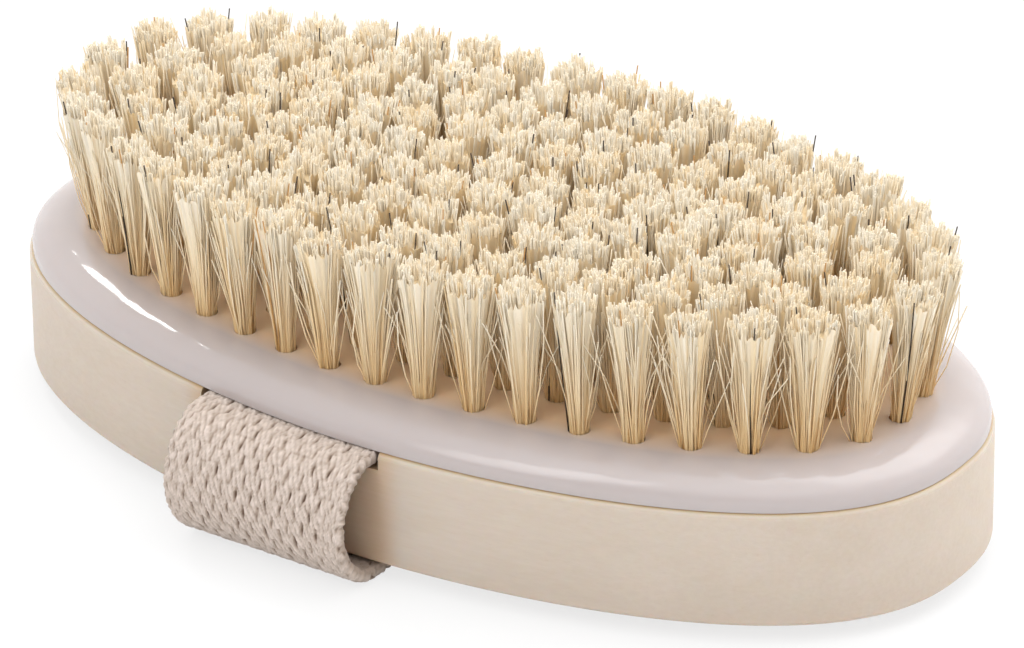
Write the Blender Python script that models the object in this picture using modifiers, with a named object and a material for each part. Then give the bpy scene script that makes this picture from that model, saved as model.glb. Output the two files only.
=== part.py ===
"""Oval palm brush for dry body brushing, lying on its back with the bristles up.

Metres, +Z up, X along the brush. The origin lies under the middle of the brush, on the plane that
the hand strap rests on.
"""

import math

import bmesh
import bpy
import numpy as np
from mathutils import Matrix, Vector
from mathutils.geometry import interpolate_bezier

MM = 0.001

# Outline of the brush, an oval whose ends are a little pointed and whose long sides are a little flat
LENGTH = 128.0 * MM
WIDTH = 68.2 * MM
END_POWER = 1.85
SIDE_POWER = 2.38
OUTLINE_POINTS = 96
SLICE_OUTLINE_POINTS = OUTLINE_POINTS // 2

# Wooden back
WOOD_HEIGHT = 14.7 * MM
WOOD_EDGE_RADIUS = 0.8 * MM

# Bristle plate
PLATE_HEIGHT = 3.8 * MM
PLATE_INSET = 0.4 * MM
PLATE_RIM_WIDTH = 5.6 * MM
PLATE_FOOT = 0.5 * MM
PLATE_RIM_STEPS = 7
GLUE_GAP = 0.3 * MM

# Hand strap, a flat woven band
STRAP_WIDTH = 25.4 * MM
STRAP_THICKNESS = 1.9 * MM
STRAP_OFFSET = -7.1 * MM
STRAP_TUCK = 14.0 * MM
STRAP_PROUD = 7.3 * MM
STRAP_CLEARANCE = 0.3 * MM
STRAP_SLOT_CLEARANCE = 0.5 * MM
STRAP_CURVE_STEPS = 10
# How full the bulge is: the reach of its curve's handles, as shares of its depth and half height
BULGE_REACH_SHARE = 0.65
BULGE_DROP_SHARE = 0.4

# Staples that hold the strap ends down on the wood
STAPLE_CROWN = 9.0 * MM
STAPLE_LEG = 7.5 * MM
STAPLE_WIRE = 0.7 * MM
STAPLE_SPACING = 12.5 * MM
STAPLE_SETBACK = 5.0 * MM
STAPLE_CLEARANCE = 0.3 * MM
STAPLE_CORNER_SHARE = 0.3

# Tufts of bristle in oval rings round a middle row
TUFT_LENGTH = 17.8 * MM
TUFT_PITCH = 6.6 * MM
TUFT_EDGE_DISTANCE = 8.5 * MM
TUFT_LEAN = 0.8 * MM
TUFT_END_SHARE = 0.2
MIDDLE_ROW_SETBACK = 2.4 * MM
STRANDS_PER_TUFT = 3
STRAND_SIDES = 3
STRAND_FOOT_RADIUS = 0.62 * MM
STRAND_TIP_RADIUS = 0.9 * MM
STRAND_FOOT_SPREAD = 0.75 * MM
STRAND_TIP_SPREAD = 1.55 * MM
STRAND_ROOT = 0.5 * MM

# Slices of the plate that the tufts are fused to
SLICE_THICKNESS = 1.0 * MM
SLICE_BORDER = 1.6 * MM
SLICE_GAP = 0.4 * MM

# Levels above the plane that the strap rests on
STRAP_MIDDLE_LEVEL = STRAP_THICKNESS / 2
WOOD_BOTTOM = STRAP_THICKNESS + STRAP_CLEARANCE
WOOD_TOP = WOOD_BOTTOM + WOOD_HEIGHT
PLATE_BOTTOM = WOOD_TOP + GLUE_GAP
PLATE_TOP = PLATE_BOTTOM + PLATE_HEIGHT
SLICE_BOTTOM = PLATE_TOP - SLICE_THICKNESS

# The strap's upper face lies flush with the top of the wood where it goes in
STRAP_END_LEVEL = WOOD_TOP - STRAP_THICKNESS / 2
SLOT_FLOOR = WOOD_TOP - STRAP_THICKNESS - STRAP_CLEARANCE
STRAP_TIP = WIDTH / 2 - STRAP_TUCK

# A cutter reaches this far past the face that it opens
CUT_MARGIN = 2.0 * MM
MERGE_DISTANCE = 0.001 * MM
ARC_SAMPLES = 1441
SHARP_ANGLE = math.radians(40)
FLAT_ANGLE = math.radians(0.05)
GOLDEN_ANGLE = math.radians(137.5)


def clear_scene():
    for existing in list(bpy.data.objects):
        bpy.data.objects.remove(existing)


def new_collection(name):
    collection = bpy.data.collections.new(name)
    bpy.context.scene.collection.children.link(collection)
    return collection


def make_material(name, colour, roughness, metallic=0.0):
    material = bpy.data.materials.new(name)
    material.use_nodes = True
    shader = material.node_tree.nodes["Principled BSDF"]
    shader.inputs["Base Color"].default_value = (*colour, 1.0)
    shader.inputs["Roughness"].default_value = roughness
    shader.inputs["Metallic"].default_value = metallic
    return material


def place(name, data, location, material):
    """Put a sub-part in the brush's collection, under its empty."""
    piece = bpy.data.objects.new(name, data)
    piece.location = location
    piece.parent = assembly
    data.materials.clear()
    data.materials.append(material)
    parts.objects.link(piece)
    return piece


def place_cutter(name, data, location):
    cutter = bpy.data.objects.new(name, data)
    cutter.location = location
    cutter.hide_render = True
    cutter.display_type = "WIRE"
    cutters.objects.link(cutter)
    return cutter


def shade_round(mesh):
    mesh.shade_smooth()
    mesh.set_sharp_from_angle(angle=SHARP_ANGLE)


def mesh_from_curve(curve):
    """The evaluated curve as a mesh with its caps welded on and made one face each."""
    carrier = bpy.data.objects.new("carrier", curve)
    bpy.context.scene.collection.objects.link(carrier)
    bpy.context.view_layer.update()
    evaluated = carrier.evaluated_get(bpy.context.evaluated_depsgraph_get())
    mesh = bpy.data.meshes.new_from_object(evaluated)
    bpy.data.objects.remove(carrier)
    bm = bmesh.new()
    bm.from_mesh(mesh)
    bmesh.ops.remove_doubles(bm, verts=bm.verts, dist=MERGE_DISTANCE)
    bmesh.ops.dissolve_limit(bm, angle_limit=FLAT_ANGLE, verts=bm.verts, edges=bm.edges)
    bm.to_mesh(mesh)
    bm.free()
    return mesh


def flat_slab(name, outline, thickness):
    """A slab of the outline in the XY plane, half of its thickness to each side of it."""
    curve = bpy.data.curves.new(name, "CURVE")
    curve.dimensions = "2D"
    curve.fill_mode = "BOTH"
    curve.extrude = thickness / 2
    spline = curve.splines.new("POLY")
    spline.points.add(len(outline) - 1)
    for point, (x, y) in zip(spline.points, outline):
        point.co = (x, y, 0, 1)
    spline.use_cyclic_u = True
    mesh = mesh_from_curve(curve)
    bpy.data.curves.remove(curve)
    mesh.name = name
    return mesh


def cut(piece, cutter, operation="DIFFERENCE"):
    boolean = piece.modifiers.new(cutter.name, "BOOLEAN")
    boolean.operation = operation
    boolean.object = cutter


def oval_point(angle, half_length, half_width):
    cosine, sine = math.cos(angle), math.sin(angle)
    x = math.copysign(half_length * abs(cosine) ** (2 / END_POWER), cosine)
    y = math.copysign(half_width * abs(sine) ** (2 / SIDE_POWER), sine)
    return x, y


def oval_outline(half_length, half_width, count=OUTLINE_POINTS):
    turns = (2 * math.pi * i / count for i in range(count))
    return [oval_point(turn, half_length, half_width) for turn in turns]


def oval_way(half_length, half_width):
    """Sampled angles of the oval and the way round it up to each of them."""
    angles = np.linspace(0, 2 * math.pi, ARC_SAMPLES)
    points = np.array([oval_point(angle, half_length, half_width) for angle in angles])
    steps = np.hypot(*np.diff(points, axis=0).T)
    return angles, np.concatenate(([0.0], np.cumsum(steps)))


def angles_at(shares, half_length, half_width):
    """Angles at the given shares of the way round the oval, counted from its right tip."""
    angles, way = oval_way(half_length, half_width)
    turns = np.floor(shares)
    return np.interp((shares - turns) * way[-1], way, angles) + 2 * math.pi * turns


def make_wood():
    """Solid oval block with sanded edges."""
    outline = oval_outline(LENGTH / 2, WIDTH / 2)
    mesh = flat_slab("wood_back", outline, WOOD_HEIGHT)
    shade_round(mesh)
    wood = place("wood_back", mesh, (0, 0, (WOOD_BOTTOM + WOOD_TOP) / 2), wood_finish)
    edges = wood.modifiers.new("sanded edges", "BEVEL")
    edges.width = WOOD_EDGE_RADIUS
    edges.segments = 3
    edges.limit_method = "ANGLE"
    edges.angle_limit = SHARP_ANGLE
    return wood


def cut_strap_slots(wood):
    """A shallow slot in the top of the wood at each long side, for the strap's end."""
    slot_length = STRAP_TUCK + STRAP_SLOT_CLEARANCE + CUT_MARGIN
    slot_height = WOOD_TOP - SLOT_FLOOR + CUT_MARGIN
    slot_width = STRAP_WIDTH + 2 * STRAP_SLOT_CLEARANCE
    for side, name in ((-1, "slot_front"), (1, "slot_back")):
        bm = bmesh.new()
        bmesh.ops.create_cube(bm, size=1.0)
        bmesh.ops.scale(bm, verts=bm.verts, vec=(slot_width, slot_length, slot_height))
        mesh = bpy.data.meshes.new(name)
        bm.to_mesh(mesh)
        bm.free()
        middle = STRAP_TIP - STRAP_SLOT_CLEARANCE + slot_length / 2
        location = (STRAP_OFFSET, side * middle, SLOT_FLOOR + slot_height / 2)
        cut(wood, place_cutter(name, mesh, location))


def lofted_oval(name, levels):
    """A closed solid through ovals, each given by its half sizes and its height."""
    bm = bmesh.new()
    loops = []
    for half_length, half_width, height in levels:
        ring = bmesh.ops.create_circle(bm, segments=OUTLINE_POINTS, radius=LENGTH)["verts"]
        outline = oval_outline(half_length, half_width)
        for vertex, (x, y) in zip(ring, outline):
            vertex.co = (x, y, height)
        loops.append(list({edge for vertex in ring for edge in vertex.link_edges}))
    for lower, upper in zip(loops, loops[1:]):
        bmesh.ops.bridge_loops(bm, edges=lower + upper)
    bmesh.ops.contextual_create(bm, geom=loops[0])
    bmesh.ops.contextual_create(bm, geom=loops[-1])
    bmesh.ops.recalc_face_normals(bm, faces=bm.faces)
    mesh = bpy.data.meshes.new(name)
    bm.to_mesh(mesh)
    bm.free()
    shade_round(mesh)
    return mesh


def make_plate():
    """Moulded plate: a short upright foot, a rim rounded as a quarter ellipse and a flat top."""
    half_length = LENGTH / 2 - PLATE_INSET
    half_width = WIDTH / 2 - PLATE_INSET
    rim_height = PLATE_HEIGHT - PLATE_FOOT
    levels = [(half_length, half_width, 0.0)]
    for step in range(PLATE_RIM_STEPS + 1):
        turn = math.pi / 2 * step / PLATE_RIM_STEPS
        inwards = PLATE_RIM_WIDTH * (1 - math.cos(turn))
        height = PLATE_FOOT + rim_height * math.sin(turn)
        levels.append((half_length - inwards, half_width - inwards, height))
    plate = place("bristle_plate", lofted_oval("bristle_plate", levels), (0, 0, PLATE_BOTTOM), plate_finish)
    border = SLICE_BORDER + SLICE_GAP
    pocket_levels = [
        (first_ring_length + border, first_ring_width + border, -SLICE_GAP),
        (first_ring_length + border, first_ring_width + border, SLICE_THICKNESS + CUT_MARGIN),
    ]
    pocket = lofted_oval("slice_pocket", pocket_levels)
    cut(plate, place_cutter("slice_pocket", pocket, (0, 0, SLICE_BOTTOM)))
    return plate


def strap_half_line():
    """Middle line of one half of the strap in the YZ plane, from the brush's middle to its tip."""
    side = WIDTH / 2
    bulge = side + STRAP_PROUD - STRAP_THICKNESS / 2
    bulge_level = (STRAP_MIDDLE_LEVEL + STRAP_END_LEVEL) / 2
    under = Vector((0, side - WOOD_EDGE_RADIUS / 2, STRAP_MIDDLE_LEVEL))
    belly = Vector((0, bulge, bulge_level))
    mouth = Vector((0, side, STRAP_END_LEVEL))
    reach = BULGE_REACH_SHARE * (bulge - side)
    drop = BULGE_DROP_SHARE * (bulge_level - STRAP_MIDDLE_LEVEL)
    outwards, downwards = Vector((0, reach, 0)), Vector((0, 0, drop))
    lower = interpolate_bezier(under, under + outwards, belly - downwards, belly, STRAP_CURVE_STEPS)
    upper = interpolate_bezier(belly, belly + downwards, mouth + outwards, mouth, STRAP_CURVE_STEPS)
    start = Vector((0, 0, STRAP_MIDDLE_LEVEL))
    tip = Vector((0, STRAP_TIP, STRAP_END_LEVEL))
    return [start, *lower, *upper[1:], tip]


def make_strap():
    """One band: in at one long side, out in a slack bulge, flat under the wood and up again."""
    line = strap_half_line()
    half_width = Vector((STRAP_WIDTH / 2, 0, 0))
    bm = bmesh.new()
    left = bm.verts.new(line[0] - half_width)
    right = bm.verts.new(line[0] + half_width)
    edge = bm.edges.new((left, right))
    for start, end in zip(line, line[1:]):
        grown = bmesh.ops.extrude_edge_only(bm, edges=[edge])["geom"]
        fresh = [item for item in grown if isinstance(item, bmesh.types.BMVert)]
        bmesh.ops.translate(bm, verts=fresh, vec=end - start)
        edge = next(item for item in grown if isinstance(item, bmesh.types.BMEdge)
                    and all(vertex in fresh for vertex in item.verts))
    mesh = bpy.data.meshes.new("hand_strap")
    bm.to_mesh(mesh)
    bm.free()
    strap = place("hand_strap", mesh, (STRAP_OFFSET, 0, 0), webbing_finish)
    mirror = strap.modifiers.new("other half", "MIRROR")
    mirror.use_axis = (False, True, False)
    mirror.merge_threshold = MERGE_DISTANCE
    band = strap.modifiers.new("webbing", "SOLIDIFY")
    band.thickness = STRAP_THICKNESS
    band.offset = 0.0
    band.use_even_offset = True
    return strap


def staple_curve(name, wire, extra_leg):
    """Staple wire with rounded shoulders; the middle of its crown lies at the origin."""
    half = STAPLE_CROWN / 2
    foot = -(STAPLE_LEG + extra_leg)
    shoulder = STAPLE_WIRE
    cut_in = STAPLE_CORNER_SHARE * shoulder
    corner = [(half, foot), (half, -shoulder), (half - cut_in, -cut_in), (half - shoulder, 0)]
    points = [(-x, z) for x, z in corner] + list(reversed(corner))
    curve = bpy.data.curves.new(name, "CURVE")
    curve.dimensions = "3D"
    curve.bevel_depth = wire / 2
    curve.bevel_resolution = 1
    curve.use_fill_caps = True
    spline = curve.splines.new("POLY")
    spline.points.add(len(points) - 1)
    for point, (x, z) in zip(spline.points, points):
        point.co = (x, 0, z, 1)
    return curve


def make_staples(wood, strap):
    """Two staples through each strap end into the wood, each in a hole of its own."""
    wire = staple_curve("strap_staple", STAPLE_WIRE, 0.0)
    bore = staple_curve("staple_bore", STAPLE_WIRE + 2 * STAPLE_CLEARANCE, STAPLE_CLEARANCE)
    bore_mesh = mesh_from_curve(bore)
    bpy.data.curves.remove(bore)
    crown_level = WOOD_TOP - STAPLE_WIRE / 2
    for side, side_name in ((-1, "front"), (1, "back")):
        for hand, hand_name in ((-1, "left"), (1, "right")):
            x = STRAP_OFFSET + hand * STAPLE_SPACING / 2
            location = (x, side * (STRAP_TIP + STAPLE_SETBACK), crown_level)
            place(f"strap_staple_{side_name}_{hand_name}", wire, location, steel_finish)
            cutter = place_cutter(f"staple_bore_{side_name}_{hand_name}", bore_mesh, location)
            cut(strap, cutter)
            cut(wood, cutter)


def add_strand(bm, foot, tip, turn):
    """One upright strand whose ends are level, from its root in the slice to its tip."""
    height = TUFT_LENGTH + STRAND_ROOT
    cone = bmesh.ops.create_cone(
        bm, cap_ends=True, segments=STRAND_SIDES, radius1=STRAND_FOOT_RADIUS,
        radius2=STRAND_TIP_RADIUS, depth=height, matrix=Matrix.Rotation(turn, 4, "Z"))["verts"]
    lower = [vertex for vertex in cone if vertex.co.z < 0]
    upper = [vertex for vertex in cone if vertex.co.z > 0]
    bmesh.ops.translate(bm, verts=lower, vec=(foot.x, foot.y, height / 2 - STRAND_ROOT))
    bmesh.ops.translate(bm, verts=upper, vec=(tip.x, tip.y, height / 2 - STRAND_ROOT))


def strands_mesh(name, tufts):
    """The strands of some tufts, each tuft given by its foot and by how far its top leans."""
    bm = bmesh.new()
    for number, (foot, lean) in enumerate(tufts):
        for strand in range(STRANDS_PER_TUFT):
            turn = number * GOLDEN_ANGLE + 2 * math.pi * strand / STRANDS_PER_TUFT
            outwards = Vector((math.cos(turn), math.sin(turn)))
            add_strand(bm, foot + STRAND_FOOT_SPREAD * outwards,
                       foot + lean + STRAND_TIP_SPREAD * outwards, turn)
    mesh = bpy.data.meshes.new(name)
    bm.to_mesh(mesh)
    bm.free()
    return mesh


def make_tuft_node(name, outline, tufts):
    """A slice of the plate with its tufts fused on."""
    slice_mesh = flat_slab(name, outline, SLICE_THICKNESS)
    node = place(name, slice_mesh, (0, 0, SLICE_BOTTOM + SLICE_THICKNESS / 2), bristle_finish)
    strands = place_cutter(f"{name}_strands", strands_mesh(f"{name}_strands", tufts), (0, 0, PLATE_TOP))
    cut(node, strands, "UNION")


def slice_outline(start, end, half_length, half_width, inner_border, outer_border):
    """Outline of a stretch of a ring's slice: out along one border and back along the other."""
    first_angle, last_angle = angles_at(np.array((start, end)), half_length, half_width)
    steps = max(2, round(SLICE_OUTLINE_POINTS * (last_angle - first_angle) / (2 * math.pi)))
    angles = np.linspace(first_angle, last_angle, steps + 1)
    outer = [oval_point(a, half_length + outer_border, half_width + outer_border) for a in angles]
    inner = [oval_point(a, half_length - inner_border, half_width - inner_border) for a in angles]
    return outer + inner[::-1]


def make_tuft_ring(ring):
    """One ring of tufts, split between tufts into a node at each end and along each side."""
    half_length = first_ring_length - ring * ring_pitch
    half_width = first_ring_width - ring * ring_pitch
    way = oval_way(half_length, half_width)[1][-1]
    count = 2 * round(way / TUFT_PITCH / 2)
    phase = 0.0 if ring % 2 == 0 else 0.5
    end_count = 2 * round((count * TUFT_END_SHARE - 1 + 2 * phase) / 2) + (1 if phase == 0 else 0)
    side_count = count // 2 - end_count
    first = -(end_count // 2)
    inner_border = ring_pitch / 2 - SLICE_GAP / 2
    outer_border = SLICE_BORDER if ring == 0 else inner_border
    lean_share = 1 - ring / ring_count
    for side, size in (("right", end_count), ("back", side_count), ("left", end_count), ("front", side_count)):
        start = (first + phase - 0.5) / count + SLICE_GAP / 2 / way
        end = (first + size + phase - 0.5) / count - SLICE_GAP / 2 / way
        outline = slice_outline(start, end, half_length, half_width, inner_border, outer_border)
        tufts = []
        for angle in angles_at((np.arange(first, first + size) + phase) / count, half_length, half_width):
            foot = Vector(oval_point(angle, half_length, half_width))
            outwards = Vector((half_width * math.cos(angle), half_length * math.sin(angle))).normalized()
            tufts.append((foot, outwards * TUFT_LEAN * lean_share))
        make_tuft_node(f"tufts_ring_{ring + 1}_{side}", outline, tufts)
        first += size


def make_middle_row():
    """The straight row of tufts inside the last ring."""
    slice_length = first_ring_length - ring_count * ring_pitch
    half_row = slice_length - MIDDLE_ROW_SETBACK
    count = round(2 * half_row / TUFT_PITCH) + 1
    border = ring_pitch / 2 - SLICE_GAP / 2
    outline = oval_outline(slice_length + border, border, SLICE_OUTLINE_POINTS)
    still = Vector((0, 0))
    tufts = [(Vector((x, 0)), still) for x in np.linspace(-half_row, half_row, count)]
    make_tuft_node("tufts_middle_row", outline, tufts)


first_ring_length = LENGTH / 2 - TUFT_EDGE_DISTANCE
first_ring_width = WIDTH / 2 - TUFT_EDGE_DISTANCE
ring_count = max(1, round(first_ring_width / TUFT_PITCH))
ring_pitch = first_ring_width / ring_count

clear_scene()
parts = new_collection("body_brush")
cutters = new_collection("cutters")
assembly = bpy.data.objects.new("body_brush", None)
parts.objects.link(assembly)

wood_finish = make_material("pale_wood", (0.66, 0.56, 0.46), 0.55)
plate_finish = make_material("milky_plastic", (0.72, 0.66, 0.65), 0.22)
bristle_finish = make_material("pale_bristle", (0.72, 0.56, 0.36), 0.5)
webbing_finish = make_material("cotton_webbing", (0.60, 0.49, 0.43), 0.9)
steel_finish = make_material("staple_steel", (0.62, 0.62, 0.62), 0.35, 1.0)

wood_back = make_wood()
cut_strap_slots(wood_back)
make_plate()
hand_strap = make_strap()
make_staples(wood_back, hand_strap)
for ring_number in range(ring_count):
    make_tuft_ring(ring_number)
make_middle_row()
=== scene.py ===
"""Looks of the body brush: wooden back, moulded plate, bristle tufts and woven hand strap."""

import math
import random
from bisect import bisect_right

import bmesh
import bpy
from mathutils import Matrix, Quaternion, Vector, noise
from mathutils.geometry import interpolate_bezier
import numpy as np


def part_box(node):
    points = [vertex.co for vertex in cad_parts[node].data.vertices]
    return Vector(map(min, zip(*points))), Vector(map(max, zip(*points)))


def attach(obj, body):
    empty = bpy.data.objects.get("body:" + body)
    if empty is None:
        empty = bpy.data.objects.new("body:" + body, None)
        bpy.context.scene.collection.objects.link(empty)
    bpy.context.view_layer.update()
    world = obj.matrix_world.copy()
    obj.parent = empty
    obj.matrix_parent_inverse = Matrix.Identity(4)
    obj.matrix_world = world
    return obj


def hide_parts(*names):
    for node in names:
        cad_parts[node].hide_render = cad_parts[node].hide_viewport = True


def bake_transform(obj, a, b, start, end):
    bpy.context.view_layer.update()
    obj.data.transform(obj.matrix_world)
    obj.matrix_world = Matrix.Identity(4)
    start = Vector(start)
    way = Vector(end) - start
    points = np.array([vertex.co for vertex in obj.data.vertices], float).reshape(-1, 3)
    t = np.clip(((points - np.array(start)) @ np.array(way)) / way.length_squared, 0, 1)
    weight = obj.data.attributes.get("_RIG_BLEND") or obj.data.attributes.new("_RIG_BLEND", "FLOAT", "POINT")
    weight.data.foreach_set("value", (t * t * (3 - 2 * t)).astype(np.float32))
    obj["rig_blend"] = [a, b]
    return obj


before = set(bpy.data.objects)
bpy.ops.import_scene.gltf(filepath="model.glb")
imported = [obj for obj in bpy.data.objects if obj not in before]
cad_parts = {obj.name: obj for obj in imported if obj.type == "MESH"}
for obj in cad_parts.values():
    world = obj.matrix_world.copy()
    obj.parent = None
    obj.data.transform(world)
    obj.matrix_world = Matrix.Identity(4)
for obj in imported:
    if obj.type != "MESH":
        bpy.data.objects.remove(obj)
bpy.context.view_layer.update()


# The camera. It looks along the brush from its front right corner, a little under a metre away,
# through a long lens, so that the two long sides stay almost parallel.
LENS = 263.67
SENSOR_WIDTH = 36.0
CAMERA_PLACE = (0.44881, -0.64456, 0.43280)
CAMERA_AZIMUTH = math.radians(34.7553)
CAMERA_ELEVATION = math.radians(27.8996)
CAMERA_ROLL = math.radians(-0.7037)

camera_back = Vector((
    math.sin(CAMERA_AZIMUTH) * math.cos(CAMERA_ELEVATION),
    -math.cos(CAMERA_AZIMUTH) * math.cos(CAMERA_ELEVATION),
    math.sin(CAMERA_ELEVATION)))
level_right = Vector((math.cos(CAMERA_AZIMUTH), math.sin(CAMERA_AZIMUTH), 0.0))
level_up = camera_back.cross(level_right)
camera_right = level_right * math.cos(CAMERA_ROLL) + level_up * math.sin(CAMERA_ROLL)
camera_up = camera_back.cross(camera_right)
camera_data = bpy.data.cameras.new("camera")
camera_data.lens = LENS
camera_data.sensor_width = SENSOR_WIDTH
camera = bpy.data.objects.new("camera", camera_data)
camera.matrix_world = Matrix.LocRotScale(
    Vector(CAMERA_PLACE), Matrix((camera_right, camera_up, camera_back)).transposed(), None)
bpy.context.scene.collection.objects.link(camera)
bpy.context.scene.camera = camera


# The studio. A white floor carries the soft shadow and the backdrop is white. The light of the room
# falls off towards its front. Three soft glows stand in it: a tall one at the front left, one wide
# and high over the front, and one high at the back. A tall window stands to the back left.
FLOOR_SIZE = 6.0
FLOOR_COLOUR = (0.80, 0.80, 0.80, 1.0)
FLOOR_WHITENESS = 0.75
WHITE = (1.0, 1.0, 1.0, 1.0)
ROOM_FRONT = 0.43
ROOM_BACK = 1.20
ROOM_BACK_FROM = 0.6
GLOWS = (
    dict(towards=(-0.17, -0.66, 0.73), squeeze=0.3, inner=2.0, outer=17.0, strength=3.0),
    dict(towards=(0.16, -0.34, 0.93), squeeze=1.0, inner=5.0, outer=45.0, strength=1.1),
    dict(towards=(0.22, 0.48, 0.85), squeeze=1.0, inner=10.0, outer=38.0, strength=2.2),
)
WINDOW_PLACE = (-0.67, 0.34, 0.675)
WINDOW_SIZE = (0.15, 0.25)
WINDOW_LEAN = math.radians(-40)
WINDOW_WATTS = 1.9


def fill_sockets(material, node, sockets):
    """Each named socket gets a value, or a link if another node's output is given for it."""
    for name, value in sockets.items():
        if isinstance(value, bpy.types.NodeSocket):
            material.node_tree.links.new(value, node.inputs[name])
        else:
            node.inputs[name].default_value = value


def add_node(material, kind, sockets=None, **settings):
    """One shader node, with its settings and its sockets filled."""
    made = material.node_tree.nodes.new(kind)
    for name, value in settings.items():
        setattr(made, name, value)
    fill_sockets(material, made, sockets or {})
    return made


def arithmetic(material, operation, first, second=0.0, clamp=False):
    """One step of arithmetic on one or two values."""
    return add_node(material, "ShaderNodeMath", {
        0: first, 1: second}, operation=operation, use_clamp=clamp).outputs[0]


def rescaled(material, value, start, end, low=0.0, high=1.0, course="LINEAR"):
    """A value's way from start to end drawn to the way from low to high, and held at both ends."""
    return add_node(material, "ShaderNodeMapRange", {
        "Value": value, "From Min": start, "From Max": end, "To Min": low, "To Max": high},
        interpolation_type=course).outputs[0]


def new_finish(name):
    """An empty material, its shader and its surface socket."""
    material = bpy.data.materials.new(name)
    material.use_nodes = True
    material.node_tree.nodes.clear()
    shader = add_node(material, "ShaderNodeBsdfPrincipled")
    output = add_node(material, "ShaderNodeOutputMaterial", {"Surface": shader.outputs[0]})
    return material, shader, output.inputs["Surface"]


def floor_finish():
    """Pale floor that keeps the shadow and is seen nearly white, and that isn't seen from below."""
    material, shader, surface = new_finish("pale_floor")
    fill_sockets(material, shader, {
        "Base Color": FLOOR_COLOUR, "Roughness": 0.9, "Specular IOR Level": 0.0})
    white = add_node(material, "ShaderNodeEmission", {"Color": WHITE, "Strength": 1.0})
    ray = add_node(material, "ShaderNodeLightPath").outputs
    seen = arithmetic(material, "MAXIMUM", ray["Is Camera Ray"], ray["Is Glossy Ray"])
    seen = arithmetic(material, "MAXIMUM", seen, ray["Is Transmission Ray"])
    share = arithmetic(material, "MULTIPLY", seen, FLOOR_WHITENESS)
    mixed = add_node(material, "ShaderNodeMixShader", {
        0: share, 1: shader.outputs[0], 2: white.outputs[0]})
    clear = add_node(material, "ShaderNodeBsdfTransparent")
    side = add_node(material, "ShaderNodeNewGeometry")
    one_sided = add_node(material, "ShaderNodeMixShader", {
        0: side.outputs["Backfacing"], 1: mixed.outputs[0], 2: clear.outputs[0]})
    material.node_tree.links.new(one_sided.outputs[0], surface)
    return material


floor_mesh = bmesh.new()
bmesh.ops.create_grid(floor_mesh, x_segments=1, y_segments=1, size=FLOOR_SIZE / 2)
floor_data = bpy.data.meshes.new("floor")
floor_mesh.to_mesh(floor_data)
floor_mesh.free()
floor_data.materials.append(floor_finish())
floor = bpy.data.objects.new("floor", floor_data)
bpy.context.scene.collection.objects.link(floor)

world = bpy.data.worlds.new("studio")
world.use_nodes = True
world.node_tree.nodes.clear()
direction = add_node(world, "ShaderNodeTexCoord").outputs["Generated"]
heading = add_node(world, "ShaderNodeSeparateXYZ", {"Vector": direction})
light = rescaled(world, heading.outputs["Y"], -1.0, ROOM_BACK_FROM, ROOM_FRONT, ROOM_BACK)
for glow in GLOWS:
    squeeze = Vector((1.0, 1.0, glow["squeeze"]))
    towards = (Vector(glow["towards"]) * squeeze).normalized()
    drawn_up = add_node(world, "ShaderNodeVectorMath", {0: direction, 1: squeeze}, operation="MULTIPLY")
    drawn_up = add_node(world, "ShaderNodeVectorMath", {0: drawn_up.outputs[0]}, operation="NORMALIZE")
    nearness = add_node(world, "ShaderNodeVectorMath", {
        0: drawn_up.outputs[0], 1: towards}, operation="DOT_PRODUCT").outputs["Value"]
    outer_edge, inner_edge = (math.cos(math.radians(glow[edge])) for edge in ("outer", "inner"))
    shine = rescaled(
        world, nearness, outer_edge, inner_edge, high=glow["strength"], course="SMOOTHSTEP")
    light = arithmetic(world, "ADD", light, shine)
room = add_node(world, "ShaderNodeBackground", {"Color": WHITE, "Strength": light})
backdrop = add_node(world, "ShaderNodeBackground", {"Color": WHITE, "Strength": 1.0})
camera_ray = add_node(world, "ShaderNodeLightPath").outputs["Is Camera Ray"]
surroundings = add_node(world, "ShaderNodeMixShader", {
    0: camera_ray, 1: room.outputs[0], 2: backdrop.outputs[0]})
add_node(world, "ShaderNodeOutputWorld", {"Surface": surroundings.outputs[0]})
bpy.context.scene.world = world
bpy.context.scene.view_settings.view_transform = "Standard"

window_light = bpy.data.lights.new("window", "AREA")
window_light.shape = "RECTANGLE"
window_light.size, window_light.size_y = WINDOW_SIZE
window_light.energy = WINDOW_WATTS
window = bpy.data.objects.new("window", window_light)
window.location = WINDOW_PLACE
window.rotation_mode = "QUATERNION"
facing = (-Vector(WINDOW_PLACE)).to_track_quat("-Z", "Y")
window.rotation_quaternion = facing @ Quaternion((0, 0, 1), WINDOW_LEAN)
bpy.context.scene.collection.objects.link(window)


# The wooden back. One oval block sawn from a pale board with its grain along the brush, sanded on
# its edges and left without lacquer. A shallow recess at each long side lets the strap in.
MM = 0.001
wood_low, wood_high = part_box("wood_back")
strap_low, strap_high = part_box("hand_strap")
strap_middle_x = (strap_high.x + strap_low.x) / 2
strap_half_width = (strap_high.x - strap_low.x) / 2
HALF_LENGTH = wood_high.x
HALF_WIDTH = wood_high.y
END_POWER = 1.85
SIDE_POWER = 2.38
OUTLINE_POINTS = 288
WOOD_EDGE = 0.75 * MM
WOOD_EDGE_STEPS = 4
SHARP_ANGLE = 40
RECESS_DEPTH = 14.5 * MM
RECESS_SIDE_ROOM = 0.5 * MM
RECESS_DROP = 2.2 * MM
# Dark brown of the painted shade inside the recess.
RECESS_SHADE_BROWN = (0.24, 0.14, 0.085, 1.0)
WOOD_PALE = (0.585, 0.505, 0.43, 1.0)
WOOD_DARK = (0.52, 0.43, 0.345, 1.0)
# Brown of the painted shade at the seam under the plate. It is mixed into the recess's painted shade too.
WOOD_SHADE_AT_SEAM = (0.50, 0.36, 0.20, 1.0)
# The colour that the painted shade beside the strap multiplies in, and how far from the strap it reaches.
WOOD_STRAP_SHADE = (0.97, 0.83, 0.70, 1.0)
STRAP_SHADE_WIDTH = 4.0 * MM
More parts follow.
